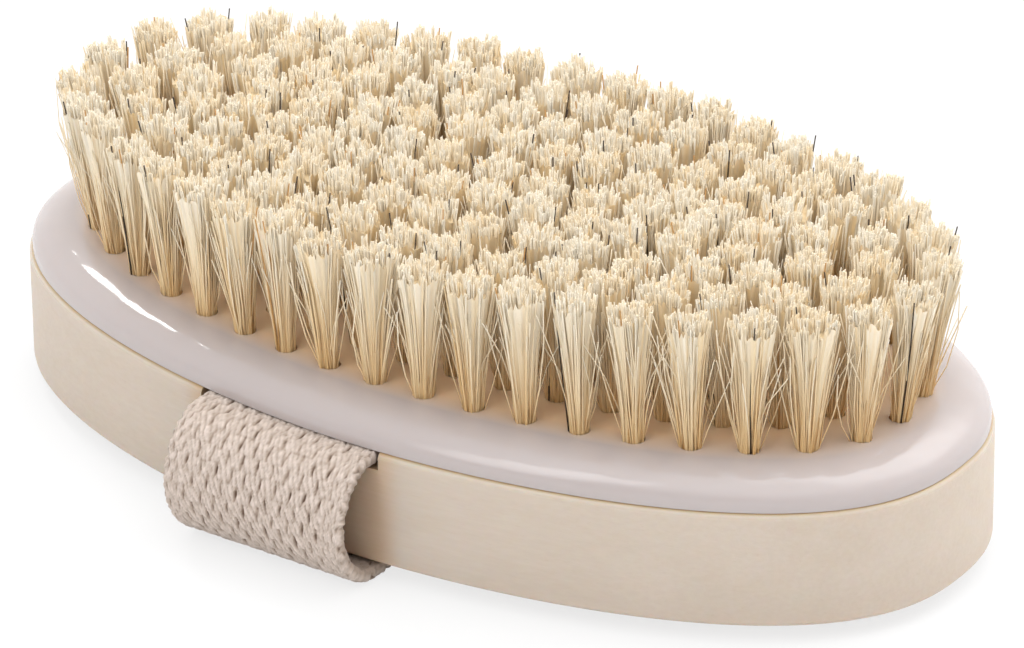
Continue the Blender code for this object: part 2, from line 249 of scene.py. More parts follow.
# Streaks are counted per metre along and across the grain, and turned a little out of line.
BANDS = dict(along=14.0, across=160.0, detail=3.0, pale_to=0.35, dark_from=0.68, weight=0.35)
FIBRES = dict(along=90.0, across=1900.0, detail=2.0, pale_to=0.3, dark_from=0.7, weight=0.35)
PORES = dict(along=260.0, across=3200.0, detail=1.0, pale_to=0.66, dark_from=0.78, weight=0.3)
GRAIN_TURN = (0.0, 0.03, 0.02)
# How far below the top face the painted seam shade and the burnish of the edge begin, and where they are
# full.
SEAM_SHADE_DEPTHS = (0.30 * MM, 0.08 * MM)
BURNISH = (0.85 * MM, 0.60 * MM)
SANDED_ROUGHNESS = 0.62
BURNISHED_ROUGHNESS = 0.27


def oval_point(angle, half_length, half_width):
    """A point of the brush's outline: pointed a little at the ends, flat a little on the sides."""
    cosine, sine = math.cos(angle), math.sin(angle)
    x = math.copysign(half_length * abs(cosine) ** (2 / END_POWER), cosine)
    y = math.copysign(half_width * abs(sine) ** (2 / SIDE_POWER), sine)
    return x, y


def oval_ring(bm, half_length, half_width, height):
    """A ring of vertices along the outline at one height, as the list of its edges."""
    ring = bmesh.ops.create_circle(bm, segments=OUTLINE_POINTS, radius=half_length)["verts"]
    for number, vertex in enumerate(ring):
        x, y = oval_point(2 * math.pi * number / OUTLINE_POINTS, half_length, half_width)
        vertex.co = (x, y, height)
    return list(dict.fromkeys(edge for vertex in ring for edge in vertex.link_edges))


def quarter_turn(steps):
    """The angles of a quarter turn in equal steps."""
    return [math.pi / 2 * step / steps for step in range(steps + 1)]


def lofted(bm, rings):
    """Walls between the rings, and a cap on the first and on the last one."""
    for lower, upper in zip(rings, rings[1:]):
        bmesh.ops.bridge_loops(bm, edges=lower + upper)
    bmesh.ops.contextual_create(bm, geom=rings[0])
    bmesh.ops.contextual_create(bm, geom=rings[-1])
    bmesh.ops.recalc_face_normals(bm, faces=bm.faces)


def add_piece(name, bm, material):
    """The finished mesh as a piece at the origin."""
    data = bpy.data.meshes.new(name)
    bm.to_mesh(data)
    bm.free()
    data.materials.append(material)
    piece = bpy.data.objects.new(name, data)
    bpy.context.scene.collection.objects.link(piece)
    return piece


def carve(piece, cutter_bm, lining):
    """Take a closed shape out of a piece. The walls that it leaves get the lining's material."""
    cutter = add_piece("cutter", cutter_bm, lining)
    carving = piece.modifiers.new("carving", "BOOLEAN")
    carving.object = cutter
    carving.material_mode = "TRANSFER"
    bpy.context.view_layer.update()
    carved = piece.evaluated_get(bpy.context.evaluated_depsgraph_get())
    carved_mesh = bpy.data.meshes.new_from_object(carved)
    piece.modifiers.clear()
    piece.data = carved_mesh
    bpy.data.objects.remove(cutter)


def shade_round(piece, sharp_degrees):
    """Smooth shading, with an edge wherever two faces turn by more than the given angle."""
    piece.data.shade_smooth()
    piece.data.set_sharp_from_angle(angle=math.radians(sharp_degrees))


def noise_pattern(material, place, scale, detail, roughness):
    """Cloudy noise at a place, from 0 to 1."""
    return add_node(material, "ShaderNodeTexNoise", {
        "Vector": place, "Scale": scale, "Detail": detail, "Roughness": roughness}).outputs["Fac"]


def mixed_colour(material, share, first, second, blend_type="MIX"):
    """Two colours mixed, by the share of the second one."""
    return add_node(material, "ShaderNodeMix", {
        0: share, 6: first, 7: second}, data_type="RGBA", blend_type=blend_type).outputs[2]


def fine_relief(material, height, strength, depth):
    """Relief too fine for the mesh, as the way that the surface faces."""
    return add_node(material, "ShaderNodeBump", {
        "Height": height, "Strength": strength, "Distance": depth}).outputs[0]


def wood_finish():
    """Pale wood with bands, streaks and pores along its grain, with painted shade at the seam and beside the
    strap.
    """
    material, shader, _ = new_finish("pale_sanded_wood")
    place = add_node(material, "ShaderNodeTexCoord").outputs["Object"]
    spot = add_node(material, "ShaderNodeSeparateXYZ", {"Vector": place}).outputs

    def streaks(along, across, detail, pale_to, dark_from, weight):
        """Streaks along the grain, and by how much they darken the wood."""
        stretch = add_node(material, "ShaderNodeMapping", {
            "Vector": place, "Scale": (along, across, across), "Rotation": GRAIN_TURN})
        pattern = noise_pattern(material, stretch.outputs[0], scale=1.0, detail=detail, roughness=0.6)
        return pattern, rescaled(material, pattern, pale_to, dark_from, high=weight)

    _, bands = streaks(**BANDS)
    fibre_pattern, fibres = streaks(**FIBRES)
    _, pores = streaks(**PORES)
    darkness = arithmetic(material, "ADD", fibres, bands)
    darkness = arithmetic(material, "ADD", darkness, pores, clamp=True)
    colour = mixed_colour(material, darkness, WOOD_PALE, WOOD_DARK)

    # Painted shade: a brown band along the top edge of the wood, under the edge of the plate.
    seam_shade_from, seam_shade_full = (wood_high.z - depth for depth in SEAM_SHADE_DEPTHS)
    at_seam = rescaled(material, spot["Z"], seam_shade_from, seam_shade_full)
    colour = mixed_colour(material, at_seam, colour, WOOD_SHADE_AT_SEAM)

    # Painted shade: the wood is darkened in a warm band beside each edge of the strap, where the strap's
    # shadow falls.
    aside = arithmetic(material, "SUBTRACT", spot["X"], strap_middle_x)
    distance = arithmetic(material, "ABSOLUTE", aside)
    in_strap_shade = rescaled(
        material, distance, strap_half_width, strap_half_width + STRAP_SHADE_WIDTH,
        low=1.0, high=0.0, course="SMOOTHSTEP")
    colour = mixed_colour(material, in_strap_shade, colour, WOOD_STRAP_SHADE, "MULTIPLY")

    burnish_from, burnish_full = (wood_high.z - depth for depth in BURNISH)
    roughness = rescaled(
        material, spot["Z"], burnish_from, burnish_full, SANDED_ROUGHNESS, BURNISHED_ROUGHNESS)
    fill_sockets(material, shader, {
        "Base Color": colour, "Roughness": roughness, "Specular IOR Level": 0.4,
        "Normal": fine_relief(material, fibre_pattern, strength=0.25, depth=0.15 * MM),
        "Subsurface Weight": 0.4, "Subsurface Radius": (1.0, 0.45, 0.2), "Subsurface Scale": 3 * MM})
    return material


def recess_finish():
    """The recess is left as the cutter leaves it, rough, and is coloured dark brown: painted shade inside
    the recess.
    """
    material, shader, _ = new_finish("sawn_recess_painted_shade")
    place = add_node(material, "ShaderNodeTexCoord").outputs["Object"]
    tears = noise_pattern(material, place, scale=2600.0, detail=3.0, roughness=0.7)
    fill_sockets(material, shader, {
        "Base Color": mixed_colour(material, tears, RECESS_SHADE_BROWN, WOOD_SHADE_AT_SEAM), "Roughness": 0.85,
        "Normal": fine_relief(material, tears, strength=0.6, depth=0.2 * MM)})
    return material


wood_bm = bmesh.new()
wood_rings = []
for turn in quarter_turn(WOOD_EDGE_STEPS):
    inset, rise = WOOD_EDGE * (1 - math.sin(turn)), WOOD_EDGE * (1 - math.cos(turn))
    wood_rings.append(oval_ring(wood_bm, HALF_LENGTH - inset, HALF_WIDTH - inset, wood_low.z + rise))
for turn in quarter_turn(WOOD_EDGE_STEPS):
    inset, drop = WOOD_EDGE * (1 - math.cos(turn)), WOOD_EDGE * (1 - math.sin(turn))
    wood_rings.append(oval_ring(wood_bm, HALF_LENGTH - inset, HALF_WIDTH - inset, wood_high.z - drop))
lofted(wood_bm, wood_rings)
wood = add_piece("wooden_back", wood_bm, wood_finish())
sawn_wood = recess_finish()
recess_size = (2 * (strap_half_width + RECESS_SIDE_ROOM), 2 * RECESS_DEPTH, 2 * RECESS_DROP)
for side in (-1, 1):
    recess = bmesh.new()
    bmesh.ops.create_cube(recess, size=1.0)
    bmesh.ops.scale(recess, verts=recess.verts, vec=recess_size)
    bmesh.ops.translate(
        recess, verts=recess.verts, vec=(strap_middle_x, side * HALF_WIDTH, wood_high.z))
    carve(wood, recess, sawn_wood)
shade_round(wood, SHARP_ANGLE)
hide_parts("wood_back")
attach(wood, "brush_body")


# The bristle plate. A milky, slightly see-through plastic moulding with a well-rounded rim that has
# sunk a little unevenly as it cooled. It is glued on the wood and has a drilled hole for each tuft.
plate_low, plate_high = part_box("bristle_plate")
PLATE_OVER_WOOD = 0.05 * MM
RIM_WIDTH = 5.6 * MM
RIM_STEPS = 18
RIM_FOOT = 0.5 * MM
# The unevenness is made of waves round the plate, each with its number, share and start. It lies
# between two shares of the plate's height.
UNEVENNESS = 0.035 * MM
UNEVEN_WAVES = ((23, 1.0, 1.0), (37, 0.7, 2.2), (61, 0.6, 0.0))
UNEVEN_BETWEEN = (0.15, 0.999)
HOLE_RADIUS = 1.3 * MM
HOLE_DEPTH = 1.8 * MM
HOLE_SIDES = 16
TUFT_PITCH = 6.6 * MM
TUFT_EDGE_DISTANCE = 8.5 * MM
TUFT_LEAN = 0.8 * MM
TUFT_END_SHARE = 0.2
MIDDLE_ROW_SETBACK = 2.4 * MM
WAY_SAMPLES = 1440
PLATE_MILKY = (0.50, 0.448, 0.440, 1.0)
PLATE_CLOUDY = (0.46, 0.405, 0.395, 1.0)
# Painted light among the tufts: a tan for the bristles' bounce light, reflection and shade on the plate,
# with the border and shares of the oval over which it fades.
PLATE_BRISTLE_BOUNCE = (0.79, 0.57, 0.375, 1.0)
TAN_BORDER = 1.9 * MM
TAN_FULL = 0.78
TAN_GONE = 1.04

outer_half_length = HALF_LENGTH - TUFT_EDGE_DISTANCE
outer_half_width = HALF_WIDTH - TUFT_EDGE_DISTANCE
ring_count = round(outer_half_width / TUFT_PITCH)
ring_pitch = outer_half_width / ring_count


def way_along(points):
    """The way travelled along a row of points, at each of them."""
    way = [0.0]
    for here, there in zip(points, points[1:]):
        way.append(way[-1] + math.dist(here, there))
    return way


def stretch_at(way, target):
    """The stretch of the way in which a target lies, and the part of it that leads there."""
    index = min(bisect_right(way, target) - 1, len(way) - 2)
    return index, (target - way[index]) / (way[index + 1] - way[index])


def way_round_oval(half_length, half_width):
    """The way travelled round an oval in equal steps of its angle."""
    return way_along([
        oval_point(2 * math.pi * i / WAY_SAMPLES, half_length, half_width)
        for i in range(WAY_SAMPLES + 1)])


def points_on_oval(shares, half_length, half_width):
    """Points at the given shares of the way round an oval, with the direction that faces out."""
    way = way_round_oval(half_length, half_width)
    found = []
    for share in shares:
        index, part = stretch_at(way, (share % 1.0) * way[-1])
        angle = 2 * math.pi * (index + part) / WAY_SAMPLES
        outwards = Vector((half_width * math.cos(angle), half_length * math.sin(angle), 0.0))
        found.append((Vector((*oval_point(angle, half_length, half_width), 0.0)), outwards.normalized()))
    return found


def tuft_groups():
    """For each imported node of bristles, its tufts: foot, how far the top leans, and the way out."""
    groups = {}
    # Each ring is turned by half a tuft from the last. Its two ends are alike, and so are its sides.
    for ring in range(ring_count):
        half_length = outer_half_length - ring * ring_pitch
        half_width = outer_half_width - ring * ring_pitch
        count = 2 * round(way_round_oval(half_length, half_width)[-1] / TUFT_PITCH / 2)
        phase = 0.0 if ring % 2 == 0 else 0.5
        end_count = 2 * round((count * TUFT_END_SHARE - 1 + 2 * phase) / 2) + (1 if phase == 0 else 0)
        side_count = count // 2 - end_count
        lean = TUFT_LEAN * (1 - ring / ring_count)
        first = -(end_count // 2)
        sizes = dict(right=end_count, back=side_count, left=end_count, front=side_count)
        for side, size in sizes.items():
            shares = [(first + i + phase) / count for i in range(size)]
            groups[f"ring_{ring + 1}_{side}"] = [
                (foot, outwards * lean, outwards)
                for foot, outwards in points_on_oval(shares, half_length, half_width)]
            first += size
    half_row = outer_half_length - ring_count * ring_pitch - MIDDLE_ROW_SETBACK
    row_count = round(2 * half_row / TUFT_PITCH) + 1
    groups["middle_row"] = [
        (Vector((-half_row + 2 * half_row * i / (row_count - 1), 0.0, 0.0)), Vector(), Vector((0, 1, 0)))
        for i in range(row_count)]
    return groups


def plate_finish():
    """Milky plastic: glossy and faintly cloudy, with a tan among the tufts that is painted bounce light,
    reflection and shade of the bristles.
    """
    material, shader, _ = new_finish("milky_moulding")
    place = add_node(material, "ShaderNodeTexCoord").outputs["Object"]
    spot = add_node(material, "ShaderNodeSeparateXYZ", {"Vector": place}).outputs
    cloud = noise_pattern(material, place, scale=45.0, detail=3.0, roughness=0.5)
    milk = mixed_colour(material, cloud, PLATE_MILKY, PLATE_CLOUDY)

    def oval_share(distance, half_size, power):
        """One side's share in the sum that is 1 all along an oval round the tufts."""
        share = arithmetic(material, "DIVIDE", distance, half_size + TAN_BORDER)
        return arithmetic(material, "POWER", arithmetic(material, "ABSOLUTE", share), power)

    oval = arithmetic(
        material, "ADD", oval_share(spot["X"], outer_half_length, END_POWER),
        oval_share(spot["Y"], outer_half_width, SIDE_POWER))
    # Painted bounce light and reflection of the bristles: full among the tufts, gone past the oval round
    # them.
    among_tufts = rescaled(material, oval, TAN_FULL, TAN_GONE, low=1.0, high=0.0)
    orange_peel = noise_pattern(material, place, scale=350.0, detail=2.0, roughness=0.5)
    fill_sockets(material, shader, {
        "Base Color": mixed_colour(material, among_tufts, milk, PLATE_BRISTLE_BOUNCE),
        "Normal": fine_relief(material, orange_peel, strength=0.12, depth=0.2 * MM),
        "Roughness": 0.09, "IOR": 1.55,
        "Subsurface Weight": 0.35, "Subsurface Radius": (1.0, 0.7, 0.55), "Subsurface Scale": 1.5 * MM})
    return material


plate_bm = bmesh.new()
plate_rings = [oval_ring(plate_bm, plate_high.x, plate_high.y, wood_high.z + PLATE_OVER_WOOD)]
for turn in quarter_turn(RIM_STEPS):
    inset = RIM_WIDTH * (1 - math.cos(turn))
    rise = RIM_FOOT + (plate_high.z - plate_low.z - RIM_FOOT) * math.sin(turn)
    plate_rings.append(oval_ring(
        plate_bm, plate_high.x - inset, plate_high.y - inset, plate_low.z + rise))
lofted(plate_bm, plate_rings)
for vertex in plate_bm.verts:
    height_share = (vertex.co.z - plate_low.z) / (plate_high.z - plate_low.z)
    if UNEVEN_BETWEEN[0] < height_share < UNEVEN_BETWEEN[1]:
        around = math.atan2(vertex.co.y / HALF_WIDTH, vertex.co.x / HALF_LENGTH)
        wave = sum(share * math.sin(number * around + start) for number, share, start in UNEVEN_WAVES)
        vertex.co.z += UNEVENNESS * wave * math.sin(math.pi * height_share ** 3)
plate = add_piece("plate_moulding", plate_bm, plate_finish())
holes = bmesh.new()
for tufts in tuft_groups().values():
    for foot, _, _ in tufts:
        bmesh.ops.create_cone(
            holes, cap_ends=True, segments=HOLE_SIDES, radius1=HOLE_RADIUS, radius2=HOLE_RADIUS,
            depth=2 * HOLE_DEPTH, matrix=Matrix.Translation(foot + Vector((0, 0, plate_high.z))))
carve(plate, holes, plate.data.materials[0])
shade_round(plate, SHARP_ANGLE)
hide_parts("bristle_plate")
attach(plate, "brush_body")


# The bristle tufts. Each is a bundle of cut, pale natural bristle, folded into its hole and fanned
# out at the top, where it is trimmed level. A few bristles are brown or black.
tips_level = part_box("tufts_middle_row")[1].z
# A tuft leaves its hole as a round bundle, is drawn in a little at its middle, and fans out above.
BUNDLE_RADIUS = 1.05 * MM
ROOT_DEPTH = 1.2 * MM
ROOT_SPREAD = 0.1 * MM
WAIST = 0.35 * MM
FAN_RADIUS = 2.75 * MM
FAN_SIZES = (0.90, 1.10)
FAN_SPREAD = 0.24 * MM
# The tufts at the two ends of the brush lean out further than those along its sides.
END_LEAN = 1.3 * MM
TOP_SPREAD = 0.3 * MM
# The tips are trimmed to nearly one level, lower at the edge of each tuft than in its middle.
FAN_CROWN = 0.5 * MM
TIPS_BELOW_TOP = 0.5 * MM
TIPS_ABOVE_TOP = 0.4 * MM
TRIM_SPREAD = 0.12 * MM
# A tone of 0 is the palest cream and 1 the warmest gold.
TUFT_TONES = (-0.12, 0.12)
# The packed bristles inside: a column with a ridge for each, ragged and cupped at the top.
CORE_SIDES = 72
CORE_FOOT_SHARE = 0.80
CORE_SHARE = 0.94
CORE_RIDGE = (-0.09, 0.09)
CORE_RIM = 0.12
CORE_DROP = 0.8 * MM
CORE_RAGGED = (-0.9 * MM, 0.3 * MM)
CORE_CUP = 1.0 * MM
# The cup and the cores of the inner rings are toned warmer gold than the bristles round them: painted shade
# in the depths of the tufts.
CUP_SHADE_TONE = 0.7
OUTER_CORE_TONE = 0.30
INNER_CORE_SHADE_TONE = 0.62
CORE_TONE_SPREAD = 0.20
# The bristles round it stand in locks that crowd together a little.
LOCKS_PER_TUFT = 42
BRISTLES_PER_LOCK = 8
GOLDEN_TURN = math.pi * (3 - math.sqrt(5))
LOCK_FILLING = 0.48
CLUMPING = 0.3
CLUMP_COUNTS = (2, 3, 3, 4)
LOCK_TONE = 0.25
LOCK_TONE_SPREAD = 0.18
BRISTLE_SIDES = 3
BRISTLE_LEVELS = 4
BRISTLE_RADIUS = (0.095 * MM, 0.16 * MM)
BRISTLE_TAPER = 0.85
BRISTLE_SPREAD = 0.18 * MM
BRISTLE_RISE = 0.2 * MM
BRISTLE_TONE_SPREAD = 0.12
TIP_SPREAD = 0.36 * MM
BEND = 0.18 * MM
SHORT_SHARE = 0.12
SHORT_BY = (0.5 * MM, 4.5 * MM)
# Thin strays stick out at the sides of the tuft.
STRAYS_PER_TUFT = 20
STRAY_RADIUS = (0.065 * MM, 0.11 * MM)
STRAY_ROOT = 0.9
STRAY_REACH = (2.6 * MM, 5.4 * MM)
STRAY_FLATNESS = 0.6
STRAY_DROP = (0.0, 7.0 * MM)
STRAY_TONES = (0.0, 0.4)
STRAY_BEND = 0.6 * MM
# The odd brown or black bristles stand near the edge of the tuft and are a little too long.
ODD_COUNTS = (0, 1, 1, 2, 2)
ODD_RADIUS = 0.12 * MM
ODD_REACH = (0.85, 1.1)
ODD_SPREAD = 0.3 * MM
ODD_RISE = (0.1 * MM, 0.8 * MM)
BLACK_SHARE = 0.6
CREAM_KIND, BROWN_KIND, BLACK_KIND = 0.0, 0.5, 1.0
# Amber at the foot of a bristle, then gold, then cream: the share of its length, and the colour. The amber
# foot is partly the bristle's own colour and partly painted shade deep in the tuft.
PALE_COLOURS = (
    (0.0, (0.99, 0.73, 0.38, 1.0)),
    (0.58, (0.998, 0.86, 0.63, 1.0)),
    (1.0, (0.998, 0.92, 0.77, 1.0)),
)
WARM_TINT = (0.96, 0.82, 0.58, 1.0)
BRISTLE_BROWN = (0.60, 0.32, 0.10, 1.0)
BRISTLE_BLACK = (0.05, 0.028, 0.014, 1.0)
SHINE_THROUGH = 0.16
BRISTLE_SHARP_ANGLE = 130


def upright_pattern(name, sides, rim=0.0):
    """An upright prism of unit length and radius, open below. A wide one gets a rim inside its top."""
    bm = bmesh.new()
    bmesh.ops.create_cone(bm, cap_ends=True, segments=sides, radius1=1.0, radius2=1.0, depth=1.0)
    long_edges = [edge for edge in bm.edges if abs(edge.verts[0].co.z - edge.verts[1].co.z) > 0.5]
    bmesh.ops.subdivide_edges(bm, edges=long_edges, cuts=BRISTLE_LEVELS - 2)
    if rim:
        top_faces = [face for face in bm.faces if face.calc_center_median().z > 0.49]
        bmesh.ops.inset_region(bm, faces=top_faces, thickness=rim)
    low_faces = [face for face in bm.faces if face.calc_center_median().z < -0.49]
    bmesh.ops.delete(bm, geom=low_faces, context="FACES_ONLY")
    bmesh.ops.translate(bm, verts=bm.verts, vec=(0, 0, 0.5))
    for layer in ("tone", "along", "kind"):
        bm.verts.layers.float.new(layer)
    pattern = bpy.data.meshes.new(name)
    bm.to_mesh(pattern)
    bm.free()
    return pattern


def add_strand(bm, pattern, foot, tip, bend, radii, tone, kind):
    """A copy of a pattern drawn from its foot to its tip along a slight bend."""
    known = len(bm.verts)
    bm.from_mesh(pattern)
    bm.verts.ensure_lookup_table()
    tones, alongs, kinds = (bm.verts.layers.float[name] for name in ("tone", "along", "kind"))
    for vertex in bm.verts[known:]:
        share = vertex.co.z
        centre = foot.lerp(tip, share) + bend * (4 * share * (1 - share))
        radius = radii[0] + (radii[1] - radii[0]) * share
        vertex.co = centre + Vector((vertex.co.x, vertex.co.y, 0.0)) * radius
        vertex[tones], vertex[alongs], vertex[kinds] = tone, share, kind
    return bm.verts[known:]


def add_core(bm, foot, top, fan, tone, dice):
    """The packed bristles inside a tuft, as one column."""
    radii = (CORE_FOOT_SHARE * BUNDLE_RADIUS, CORE_SHARE * fan)
    core = add_strand(bm, core_shape, foot, top, Vector(), radii, tone, CREAM_KIND)
    ridges = [
        (dice.uniform(*CORE_RIDGE), dice.gauss(tone, CORE_TONE_SPREAD), dice.uniform(*CORE_RAGGED))
        for _ in range(CORE_SIDES)]
    tones, alongs = (bm.verts.layers.float[name] for name in ("tone", "along"))
    for vertex in core:
        along = vertex[alongs]
        axis = foot.lerp(top, along)
        side = vertex.co - axis
        number = round(math.atan2(side.y, side.x) / (2 * math.pi) * CORE_SIDES)
        swell, ridge_tone, rise = ridges[number % CORE_SIDES]
        on_rim = side.length > (1 - CORE_RIM / 2) * (radii[0] + (radii[1] - radii[0]) * along)
        waist = 4 * along * (1 - along) * WAIST / side.length
        vertex.co = axis + side * (1 + swell - waist)
        vertex.co.z += rise * along if on_rim else -CORE_CUP
        # The cup inside the ragged rim gets the painted shade tone.
        vertex[tones] = min(1.0, max(0.0, ridge_tone)) if on_rim else CUP_SHADE_TONE


def tuft_mesh(foot, lean, outwards, dice):
    """One tuft: the packed bristles inside as one ridged core, locks round it, and a few strays."""
    bm = bmesh.new()
    across = Vector((-outwards.y, outwards.x, 0.0))

    def jitter(size):
        return Vector((dice.gauss(0, size), dice.gauss(0, size), 0.0))

    def direction_at(angle, flatness=1.0):
        return outwards * (flatness * math.cos(angle)) + across * math.sin(angle)

    level = tips_level - TIPS_BELOW_TOP + dice.gauss(0, TRIM_SPREAD)
    tuft_tone = dice.uniform(*TUFT_TONES)
    fan = FAN_RADIUS * dice.uniform(*FAN_SIZES)
    turn = dice.uniform(0, 2 * math.pi)
    clumps = dice.choice(CLUMP_COUNTS)
    end_lean = outwards * (END_LEAN * outwards.x ** 2 * lean.length / TUFT_LEAN)
    top = foot + lean + end_lean + jitter(TOP_SPREAD)

    def grow(direction, reach, tip, radius, tone, kind=CREAM_KIND, bend_size=BEND):
        """One bristle, from its place in the bundle to its tip, bent round the waist of the tuft."""
        root = foot + direction * (reach * BUNDLE_RADIUS) + jitter(ROOT_SPREAD)
        root.z = plate_high.z - ROOT_DEPTH
        bend = jitter(bend_size) - direction * (reach * WAIST)
        tone = min(1.0, max(0.0, tone))
        add_strand(bm, bristle_shape, root, tip, bend, (radius, BRISTLE_TAPER * radius), tone, kind)

    # Cores of the inner rings get a warmer tone, which is painted shade in the gaps between tufts.
    in_outer_ring = math.isclose(lean.length, TUFT_LEAN, rel_tol=0.01)
    add_core(
        bm, Vector((foot.x, foot.y, plate_high.z - ROOT_DEPTH)), Vector((top.x, top.y, level - CORE_DROP)),
        fan, tuft_tone + (OUTER_CORE_TONE if in_outer_ring else INNER_CORE_SHADE_TONE), dice)
    for lock in range(LOCKS_PER_TUFT):
        angle = turn + lock * GOLDEN_TURN
        angle += CLUMPING * math.sin(clumps * (angle - turn))
        reach = ((lock + 0.5) / LOCKS_PER_TUFT) ** LOCK_FILLING
        direction = direction_at(angle)
        lock_tip = top + direction * (reach * fan) + jitter(FAN_SPREAD)
        lock_tip.z = level - FAN_CROWN * reach ** 4 + dice.gauss(0, TIP_SPREAD)
        lock_tone = LOCK_TONE + tuft_tone + dice.gauss(0, LOCK_TONE_SPREAD)
        for _ in range(BRISTLES_PER_LOCK):
            tip = lock_tip + jitter(BRISTLE_SPREAD) + Vector((0, 0, dice.gauss(0, BRISTLE_RISE)))
            if dice.random() < SHORT_SHARE:
                tip.z -= dice.uniform(*SHORT_BY)
            tip.z = min(tip.z, tips_level + TIPS_ABOVE_TOP)
            radius = dice.uniform(*BRISTLE_RADIUS)
            grow(direction, reach, tip, radius, lock_tone + dice.gauss(0, BRISTLE_TONE_SPREAD))
    for _ in range(STRAYS_PER_TUFT):
        angle = dice.uniform(0, 2 * math.pi)
        direction = direction_at(angle, STRAY_FLATNESS)
        tip = top + direction * dice.uniform(*STRAY_REACH)
        tip.z = level - dice.uniform(*STRAY_DROP)
        radius = dice.uniform(*STRAY_RADIUS)
        grow(direction, STRAY_ROOT, tip, radius, dice.uniform(*STRAY_TONES), CREAM_KIND, STRAY_BEND)
    for _ in range(dice.choice(ODD_COUNTS)):
        angle = dice.uniform(0, 2 * math.pi)
        direction = direction_at(angle)
        reach = dice.uniform(*ODD_REACH)
        tip = top + direction * (reach * fan) + jitter(ODD_SPREAD)
        tip.z = level + dice.uniform(*ODD_RISE)
        kind = BLACK_KIND if dice.random() < BLACK_SHARE else BROWN_KIND
        grow(direction, reach, tip, ODD_RADIUS, 0.0, kind)
    made = bpy.data.meshes.new("tuft")
    bm.to_mesh(made)
    bm.free()
    return made


def attribute(material, name):
    """What the mesh says of each of its points under this name."""
    return add_node(material, "ShaderNodeAttribute", attribute_name=name).outputs["Fac"]


def colour_ramp(material, value, stops):
    """A colour for each value, from stops in rising order: a value and its colour."""
    made = add_node(material, "ShaderNodeValToRGB", {"Fac": value})
    first, *between, last = stops
    for element, (position, colour) in zip(made.color_ramp.elements, (first, last)):
        element.position, element.color = position, colour
    for position, colour in between:
        made.color_ramp.elements.new(position).color = colour
    return made.outputs[0]


def bristle_finish():
    """Natural bristle: cream at the tips and amber at the foot, partly painted shade, and light shines
    through it.
    """
    material, shader, surface = new_finish("natural_bristle")
    kind = attribute(material, "kind")
    pale = colour_ramp(material, attribute(material, "along"), PALE_COLOURS)
    pale = mixed_colour(material, attribute(material, "tone"), pale, WARM_TINT, "MULTIPLY")
    is_black = arithmetic(material, "GREATER_THAN", kind, (BROWN_KIND + BLACK_KIND) / 2)
    is_odd = arithmetic(material, "GREATER_THAN", kind, (CREAM_KIND + BROWN_KIND) / 2)
    odd = mixed_colour(material, is_black, BRISTLE_BROWN, BRISTLE_BLACK)
    colour = mixed_colour(material, is_odd, pale, odd)
    fill_sockets(material, shader, {"Base Color": colour, "Roughness": 0.4, "Specular IOR Level": 0.5})
    through = add_node(material, "ShaderNodeBsdfTranslucent", {"Color": colour})
    both = add_node(material, "ShaderNodeMixShader", {
        0: SHINE_THROUGH, 1: shader.outputs[0], 2: through.outputs[0]})
    material.node_tree.links.new(both.outputs[0], surface)
    return material


natural_bristle = bristle_finish()
bristle_shape = upright_pattern("bristle", BRISTLE_SIDES)
core_shape = upright_pattern("core", CORE_SIDES, CORE_RIM)
dice = random.Random(7)
for group, tufts in tuft_groups().items():
    group_bm = bmesh.new()
    for foot, lean, outwards in tufts:
        one = tuft_mesh(foot, lean, outwards, dice)
        group_bm.from_mesh(one)
        bpy.data.meshes.remove(one)
    bristles = add_piece(f"bristles_{group}", group_bm, natural_bristle)
    shade_round(bristles, BRISTLE_SHARP_ANGLE)
    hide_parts(f"tufts_{group}")
    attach(bristles, "brush_body")
bpy.data.meshes.remove(bristle_shape)
bpy.data.meshes.remove(core_shape)


# The hand strap. One band of heavy woven cotton webbing. Its ends go in between the plate and the
# wood, it bulges out slack at each side, and its middle lies flat under the brush.
STRAP_THICKNESS = 1.9 * MM
STRAP_END_DEPTH = 14.0 * MM
UNDERSIDE_INSET = 0.4 * MM
BULGE_REACH_SHARE = 0.65
BULGE_DROP_SHARE = 0.4
CURVE_STEPS = 24
ROW_STEP = 0.25 * MM
NORMAL_ROWS = 3
STRAP_COLUMNS = 164
# The weave: staggered bricks of three slanting threads, with a pit at the middle of each joint.
BRICK_WIDTH = 2.1 * MM
BRICK_LENGTH = 1.75 * MM
STRAND_WIDTH = 0.70 * MM
STRAND_SLANT = 0.5
PIT_RADIUS = 0.17 * MM
PIT_LENGTH = 0.45 * MM
PIT_DEPTH = 0.5
PIT_LUCK = 0.4
SEAM_DEPTH = 0.30
ROW_END_DEPTH = 0.14
GROOVE_DEPTH = 0.38
WEAVE_DEPTH = 0.44 * MM
WEAVE_WANDER = 0.38 * MM
WANDER_SIZE = 2.1 * MM
# Lumps in the threads and the fuzz on them: how strong, and how large.
LUMPS = (0.22, 0.8 * MM)
FUZZ = (0.18, 0.34 * MM)
# Its edges: a finer weave, rounded off, with a beaded outline.
EDGE_BAND = 2.4 * MM
EDGE_CHANGE = 0.6 * MM
EDGE_FINENESS = (1.6, 1.5)
EDGE_LEVEL = 0.25
EDGE_ROUNDING = 0.5 * MM
EDGE_THINNESS = 0.4
BEAD_DEPTH = 0.42 * MM
BEAD_LENGTH = 0.6 * BRICK_LENGTH
BEAD_MEAN = 0.4
BEAD_SWING = 0.3
BEAD_UNEVENNESS = (0.9, 0.8 * MM)
